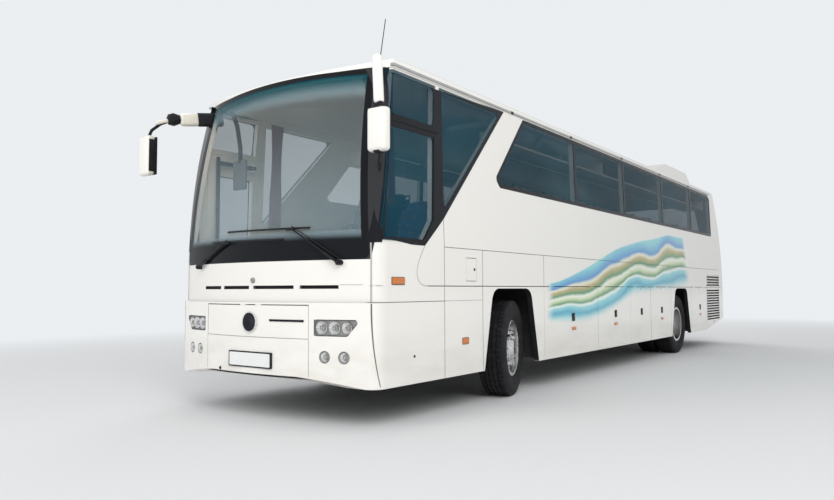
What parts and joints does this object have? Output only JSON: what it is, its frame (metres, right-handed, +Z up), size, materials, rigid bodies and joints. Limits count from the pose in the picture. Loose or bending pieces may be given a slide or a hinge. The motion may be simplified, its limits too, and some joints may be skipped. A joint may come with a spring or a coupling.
{
  "type": "coach bus",
  "caption": "Two-axle high-floor coach bus with steered front wheels, swinging passenger doors, luggage flaps, roof hatches, engine door and a furnished cabin.",
  "frame": {"origin": "on the ground, under the middle of the coach's bounding box", "axes": "+Z up, the coach's front faces -Y, its left (driver's) side is +X"},
  "size_m": [2.96, 12.2, 3.644],
  "materials": {
    "body_white": "glossy warm white paint",
    "windscreen_glass": "clear, slightly grey",
    "side_glass": "dark teal tint",
    "lamp_clear": "clear lenses over bright reflectors",
    "frame_dark": "dark chassis paint",
    "iron_dark": "dark paint",
    "floor_grey": "worn grey covering",
    "interior_cream": "matt cream",
    "dash_grey": "matt dark grey",
    "seat_cloth": "woven blue",
    "black_plastic": "matt black",
    "tyre_rubber": "matt black",
    "rim_metal": "bright, slightly brushed",
    "spring_rubber": "matt black"
  },
  "bodies": {
    "body": {"roof": "body_white", "front_panel": "body_white", "front_bumper": "body_white", "left_side_wall": "body_white", "right_side_wall": "body_white", "skirts": "body_white", "rear_panel": "body_white", "rear_bumper": "body_white", "windscreen": "windscreen_glass", "side_windows": "side_glass", "rear_window": "side_glass", "lamps": "lamp_clear", "floor_deck": "floor_grey", "luggage_hold": "floor_grey", "underframe": "frame_dark", "engine_block": "iron_dark", "wheel_housings": "black_plastic", "front_axle": "iron_dark", "rear_axle": "iron_dark", "air_springs": "spring_rubber", "dashboard": "dash_grey", "driver_seat": "seat_cloth", "passenger_seats": "seat_cloth", "luggage_racks": "interior_cream", "air_conditioner": "body_white", "left_mirror": "black_plastic", "right_mirror": "body_white", "wipers": "black_plastic", "antenna": "black_plastic"},
    "left_luggage_flap_1": {"left_luggage_flap_1": "body_white"},
    "left_luggage_flap_2": {"left_luggage_flap_2": "body_white"},
    "left_luggage_flap_3": {"left_luggage_flap_3": "body_white"},
    "left_luggage_flap_4": {"left_luggage_flap_4": "body_white"},
    "left_service_flap": {"left_service_flap": "body_white"},
    "right_luggage_flap_1": {"right_luggage_flap_1": "body_white"},
    "right_luggage_flap_2": {"right_luggage_flap_2": "body_white"},
    "right_service_flap": {"right_service_flap": "body_white"},
    "front_flap": {"front_flap": "body_white"},
    "engine_door": {"engine_door": "body_white"},
    "fuel_flap": {"fuel_flap": "body_white"},
    "front_roof_hatch": {"front_roof_hatch": "body_white"},
    "rear_roof_hatch": {"rear_roof_hatch": "body_white"},
    "front_door_arm": {"front_door_arm": "black_plastic"},
    "front_door": {"front_door": "body_white", "front_door_glass": "side_glass"},
    "middle_door_arm": {"middle_door_arm": "black_plastic"},
    "middle_door": {"middle_door": "body_white", "middle_door_glass": "side_glass"},
    "front_left_knuckle": {"front_left_knuckle": "iron_dark"},
    "front_left_wheel": {"front_left_tyre": "tyre_rubber", "front_left_rim": "rim_metal"},
    "rear_left_wheels": {"rear_left_tyres": "tyre_rubber", "rear_left_rims": "rim_metal"},
    "front_right_knuckle": {"front_right_knuckle": "iron_dark"},
    "front_right_wheel": {"front_right_tyre": "tyre_rubber", "front_right_rim": "rim_metal"},
    "rear_right_wheels": {"rear_right_tyres": "tyre_rubber", "rear_right_rims": "rim_metal"},
    "steering_wheel": {"steering_wheel": "black_plastic"}
  },
  "joints": [
    {"name": "left_luggage_flap_1_hinge", "type": "hinge", "parent": "body", "child": "left_luggage_flap_1", "pos_m": [1.275, -1.879, 1.159], "axis": [0, -1, 0], "range_deg": [0, 88]},
    {"name": "left_luggage_flap_2_hinge", "type": "hinge", "parent": "body", "child": "left_luggage_flap_2", "pos_m": [1.275, -0.452, 1.159], "axis": [0, -1, 0], "range_deg": [0, 88]},
    {"name": "left_luggage_flap_3_hinge", "type": "hinge", "parent": "body", "child": "left_luggage_flap_3", "pos_m": [1.275, 0.637, 1.159], "axis": [0, -1, 0], "range_deg": [0, 88]},
    {"name": "left_luggage_flap_4_hinge", "type": "hinge", "parent": "body", "child": "left_luggage_flap_4", "pos_m": [1.275, 1.6305, 1.159], "axis": [0, -1, 0], "range_deg": [0, 88]},
    {"name": "left_service_flap_hinge", "type": "hinge", "parent": "body", "child": "left_service_flap", "pos_m": [1.275, 3.94, 1.159], "axis": [0, -1, 0], "range_deg": [0, 88]},
    {"name": "right_luggage_flap_1_hinge", "type": "hinge", "parent": "body", "child": "right_luggage_flap_1", "pos_m": [-1.275, -1.879, 1.159], "axis": [0, 1, 0], "range_deg": [0, 88]},
    {"name": "right_luggage_flap_2_hinge", "type": "hinge", "parent": "body", "child": "right_luggage_flap_2", "pos_m": [-1.275, -0.2385, 1.159], "axis": [0, 1, 0], "range_deg": [0, 88]},
    {"name": "right_service_flap_hinge", "type": "hinge", "parent": "body", "child": "right_service_flap", "pos_m": [-1.275, 3.94, 1.159], "axis": [0, 1, 0], "range_deg": [0, 88]},
    {"name": "front_flap_hinge", "type": "hinge", "parent": "body", "child": "front_flap", "pos_m": [0, -5.8962, 0.999], "axis": [-1, 0, 0], "range_deg": [0, 80]},
    {"name": "engine_door_hinge", "type": "hinge", "parent": "body", "child": "engine_door", "pos_m": [0, 6.0962, 1.5], "axis": [1, 0, 0], "range_deg": [0, 80]},
    {"name": "fuel_flap_hinge", "type": "hinge", "parent": "body", "child": "fuel_flap", "pos_m": [1.275, -4.347, 1.32], "axis": [0, 0, -1], "range_deg": [0, 110]},
    {"name": "front_roof_hatch_hinge", "type": "hinge", "parent": "body", "child": "front_roof_hatch", "pos_m": [0, -2.224, 3.322], "axis": [-1, 0, 0], "range_deg": [0, 40]},
    {"name": "rear_roof_hatch_hinge", "type": "hinge", "parent": "body", "child": "rear_roof_hatch", "pos_m": [0, 0.676, 3.322], "axis": [-1, 0, 0], "range_deg": [0, 40]},
    {"name": "front_door_swing", "type": "hinge", "parent": "body", "child": "front_door_arm", "pos_m": [-1.12, -5.39, 1], "axis": [0, 0, 1], "range_deg": [0, 105]},
    {"name": "front_door_turn", "type": "hinge", "parent": "front_door_arm", "child": "front_door", "pos_m": [-1.12, -4.91, 1], "axis": [0, 0, 1], "range_deg": [-105, 0]},
    {"name": "middle_door_swing", "type": "hinge", "parent": "body", "child": "middle_door_arm", "pos_m": [-1.12, 1.32, 1], "axis": [0, 0, -1], "range_deg": [0, 105]},
    {"name": "middle_door_turn", "type": "hinge", "parent": "middle_door_arm", "child": "middle_door", "pos_m": [-1.12, 0.84, 1], "axis": [0, 0, -1], "range_deg": [-105, 0]},
    {"name": "left_steering", "type": "hinge", "parent": "body", "child": "front_left_knuckle", "pos_m": [0.92, -3.42, 0.505], "axis": [0, 0, 1], "range_deg": [-55, 25]},
    {"name": "front_left_wheel_spin", "type": "hinge", "parent": "front_left_knuckle", "child": "front_left_wheel", "pos_m": [0.92, -3.42, 0.505], "axis": [0.9659, 0.2588, 0], "continuous": true},
    {"name": "rear_left_wheel_spin", "type": "hinge", "parent": "body", "child": "rear_left_wheels", "pos_m": [0, 2.78, 0.505], "axis": [1, 0, 0], "continuous": true},
    {"name": "right_steering", "type": "hinge", "parent": "body", "child": "front_right_knuckle", "pos_m": [-0.92, -3.42, 0.505], "axis": [0, 0, 1], "range_deg": [-55, 25]},
    {"name": "front_right_wheel_spin", "type": "hinge", "parent": "front_right_knuckle", "child": "front_right_wheel", "pos_m": [-0.92, -3.42, 0.505], "axis": [0.9659, 0.2588, 0], "continuous": true},
    {"name": "rear_right_wheel_spin", "type": "hinge", "parent": "body", "child": "rear_right_wheels", "pos_m": [0, 2.78, 0.505], "axis": [1, 0, 0], "continuous": true},
    {"name": "steering_wheel_turn", "type": "hinge", "parent": "body", "child": "steering_wheel", "pos_m": [0.6, -5.02, 1.6], "axis": [0, 0.5, 0.866], "range_deg": [-990, 450]}
  ],
  "couplings": [
    {"joint": "right_steering", "follows": "left_steering", "ratio": 1},
    {"joint": "steering_wheel_turn", "follows": "left_steering", "ratio": 18},
    {"joint": "front_door_turn", "follows": "front_door_swing", "ratio": -1},
    {"joint": "middle_door_turn", "follows": "middle_door_swing", "ratio": -1}
  ]
}
